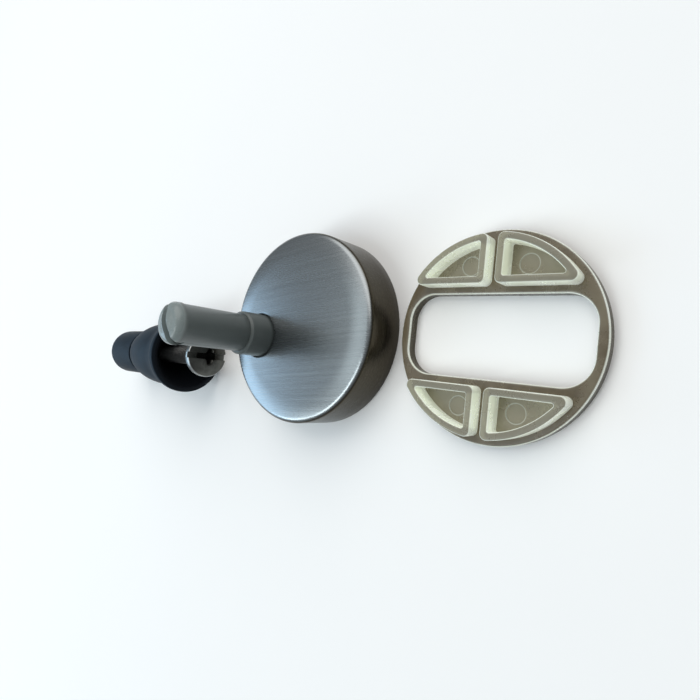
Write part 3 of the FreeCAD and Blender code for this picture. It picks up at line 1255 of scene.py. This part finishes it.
@dataclass
class FixingScrew(Piece):
    """Pan-head machine screw with a slot, a cross recess and a wound thread."""

    plating: bpy.types.Material
    length: float = 50.0 * MM
    radius: float = 3.0 * MM
    pan: PanHead = PanHead()
    foot_round: float = 0.15 * MM
    head_round: float = 0.35 * MM
    round_sink: float = 0.6
    round_turn: float = 70.0
    slot_width: float = 1.8 * MM
    slot_depth: float = 2.6 * MM
    cross_span: float = 6.4 * MM
    cross_width: float = 2.4 * MM
    cross_depth: float = 3.0 * MM
    cross_foot: Point = (2.0 * MM, 1.2 * MM)
    cross_point: float = 0.5
    cross_over: float = 0.05 * MM
    recess_edge: float = 0.1 * MM
    sunk: float = 0.3 * MM
    segments: int = 128
    round_steps: int = 5
    dome_steps: int = 16

    name = "screw_turning"
    node = "fixing_screw"
    body = Body.SCREW
    slot = Slot.SCREW

    def cross(self, span: float, width: float) -> list[Point]:
        """Draws the cross recess.

        Args:
            span: From tip to tip of two arms.
            width: Between the inner corners.

        Returns:
            The outline.
        """
        long, half = span / 2, width / 2
        quarter = [(long, -half * self.cross_point), (long, half * self.cross_point), (half, half)]
        turns = ((1, 0, 0, 1), (0, -1, 1, 0), (-1, 0, 0, -1), (0, 1, -1, 0))
        return [(a * x + b * y, c * x + d * y) for a, b, c, d in turns for x, y in quarter]

    def head(self) -> bpy.types.Mesh:
        """Turns the head and cuts its slot and its cross.

        Returns:
            The head, its underside at height 0.
        """
        top = self.pan.height
        foot = self.foot_round
        profile = [(0, 0)] + arc((self.pan.radius - foot, foot), foot, -90, 0, EDGE_STEPS)
        edge = self.head_round
        centre = (self.pan.radius - edge, self.pan.edge_height - edge * self.round_sink)
        profile += arc(centre, edge, 0, self.round_turn, self.round_steps)
        profile += dome(*profile[-1], top, self.dome_steps)
        slot = rectangle(self.slot_width, 4 * self.pan.radius)
        cutters = [
            prism(slot, slot, top - self.slot_depth, 2 * top),
            prism(self.cross(*self.cross_foot), self.cross(self.cross_span, self.cross_width),
                  top - self.cross_depth, top + self.cross_over),
        ]
        return carved(lathe(profile, self.segments, False), cutters, self.recess_edge)

    def build(self) -> bpy.types.Mesh:
        """Winds the thread and sets the head on it.

        Returns:
            The mesh in the row frame.
        """
        rod = ThreadRule(self.radius, self.length + self.sunk).mesh(self.plating)
        rod.transform(Matrix.Translation((0, 0, -self.length)))
        work = bmesh.new()
        work.from_mesh(rod)
        work.from_mesh(self.head())
        whole = closed_mesh(work)
        whole.transform(self.layout.screw)
        return whole


@dataclass
class Lamp:
    """A soft rectangular lamp, aimed at the object."""

    name: str
    place: Triple
    size: Point
    power: float
    colour: Colour

    def build(self, aim: Vector) -> None:
        """Adds the lamp to the scene.

        Args:
            aim: The point that it faces.
        """
        data = bpy.data.lights.new(self.name, "AREA")
        data.shape = "RECTANGLE"
        data.size, data.size_y = self.size
        data.energy = self.power
        data.color = self.colour
        lamp = shown(self.name, data)
        lamp.location = self.place
        lamp.rotation_euler = (aim - lamp.location).to_track_quat("-Z", "Y").to_euler()


@dataclass
class Studio:
    """The floor, the light and the camera at the photograph's angle."""

    layout: Layout
    lens: float = 26.23
    clip: Span = (0.005, 20.0)
    camera_offset: Triple = (-4.04 * MM, -97.91 * MM, 103.06 * MM)
    camera_back: Triple = (0.0, -0.6496, 0.7603)
    camera_up: Triple = (0.99033, 0.10546, 0.09011)
    floor_side: float = 12.0
    ambient: float = 0.32
    ambient_colour: Colour = (0.90, 0.96, 1.0)
    lamps: ClassVar[tuple[Lamp, ...]] = (
        Lamp("window", (-0.27, 0.93, 0.50), (0.80, 0.42), 2.95, (0.52, 0.76, 1.0)),
        Lamp("skylight", (0.0, 0.50, 1.02), (0.50, 0.30), 0.6, (0.86, 0.97, 1.0)),
        Lamp("strip", (-0.46, 0.28, 1.0), (0.24, 0.70), 3.0, (0.90, 0.98, 1.0)),
        Lamp("bar", (-0.56, 0.66, 0.68), (0.24, 0.40), 1.3, (0.86, 0.97, 1.0)),
        Lamp("ceiling", (0.8, 0.0, 0.85), (1.3, 1.3), 9.0, (1.0, 0.98, 0.95)),
    )

    def build(self, finish: bpy.types.Material) -> None:
        """Sets the stage round the object.

        Args:
            finish: The floor's material.
        """
        work = bmesh.new()
        bmesh.ops.create_grid(work, x_segments=1, y_segments=1, size=self.floor_side / 2)
        mesh = bpy.data.meshes.new("floor")
        work.to_mesh(mesh)
        work.free()
        mesh.materials.append(finish)
        floor = shown("floor", mesh)
        for lamp in self.lamps:
            lamp.build(self.layout.cap_centre)
        self.sky()
        self.camera()
        bpy.context.scene.view_settings.view_transform = "Standard"

    def sky(self) -> None:
        """Even light from all round."""
        world = bpy.data.worlds.new("studio")
        bpy.context.scene.world = world
        world.use_nodes = True
        shade = world.node_tree.nodes["Background"]
        shade.inputs["Color"].default_value = (*self.ambient_colour, 1.0)
        shade.inputs["Strength"].default_value = self.ambient

    def camera(self) -> None:
        """Sets up the photograph's camera."""
        data = bpy.data.cameras.new("camera")
        data.lens = self.lens
        data.clip_start, data.clip_end = self.clip
        camera = shown("camera", data)
        back = Vector(self.camera_back).normalized()
        right = Vector(self.camera_up).cross(back).normalized()
        axes = Matrix((right, back.cross(right), back)).transposed().to_4x4()
        camera.matrix_world = Matrix.Translation(self.layout.cap_centre + Vector(self.camera_offset)) @ axes
        bpy.context.scene.camera = camera


def main() -> None:
    """Builds and dresses every piece, then sets the stage."""
    logging.basicConfig(level=logging.INFO, format="%(name)s: %(message)s")
    layout = Layout()
    plug = ExpansionPlug(layout)
    plastic = SatinPlastic("satin_plastic").material()
    zinc = PlatedScrew("zinc_plate", place=layout.screw).material()
    pieces = [
        (CoverCap(layout), BrushedSteel("brushed_steel", layout.hinge).material()),
        (BasePlate(layout), plastic),
        (HingePin(layout), plastic),
        (SeatGasket(layout), ClearMoulding("clear_moulding", layout.gasket).material()),
        (plug, MattRubber("matt_rubber", plug.place, plug.mouth, plug.taper).material()),
        (PlugNut(layout), StainedMetal("brass").material()),
        (FixingScrew(layout, zinc), zinc),
    ]
    for piece, finish in pieces:
        piece.dress(finish)
    Studio(layout).build(PaleFloor("pale_floor").material())


if __name__ == "__main__":
    main()
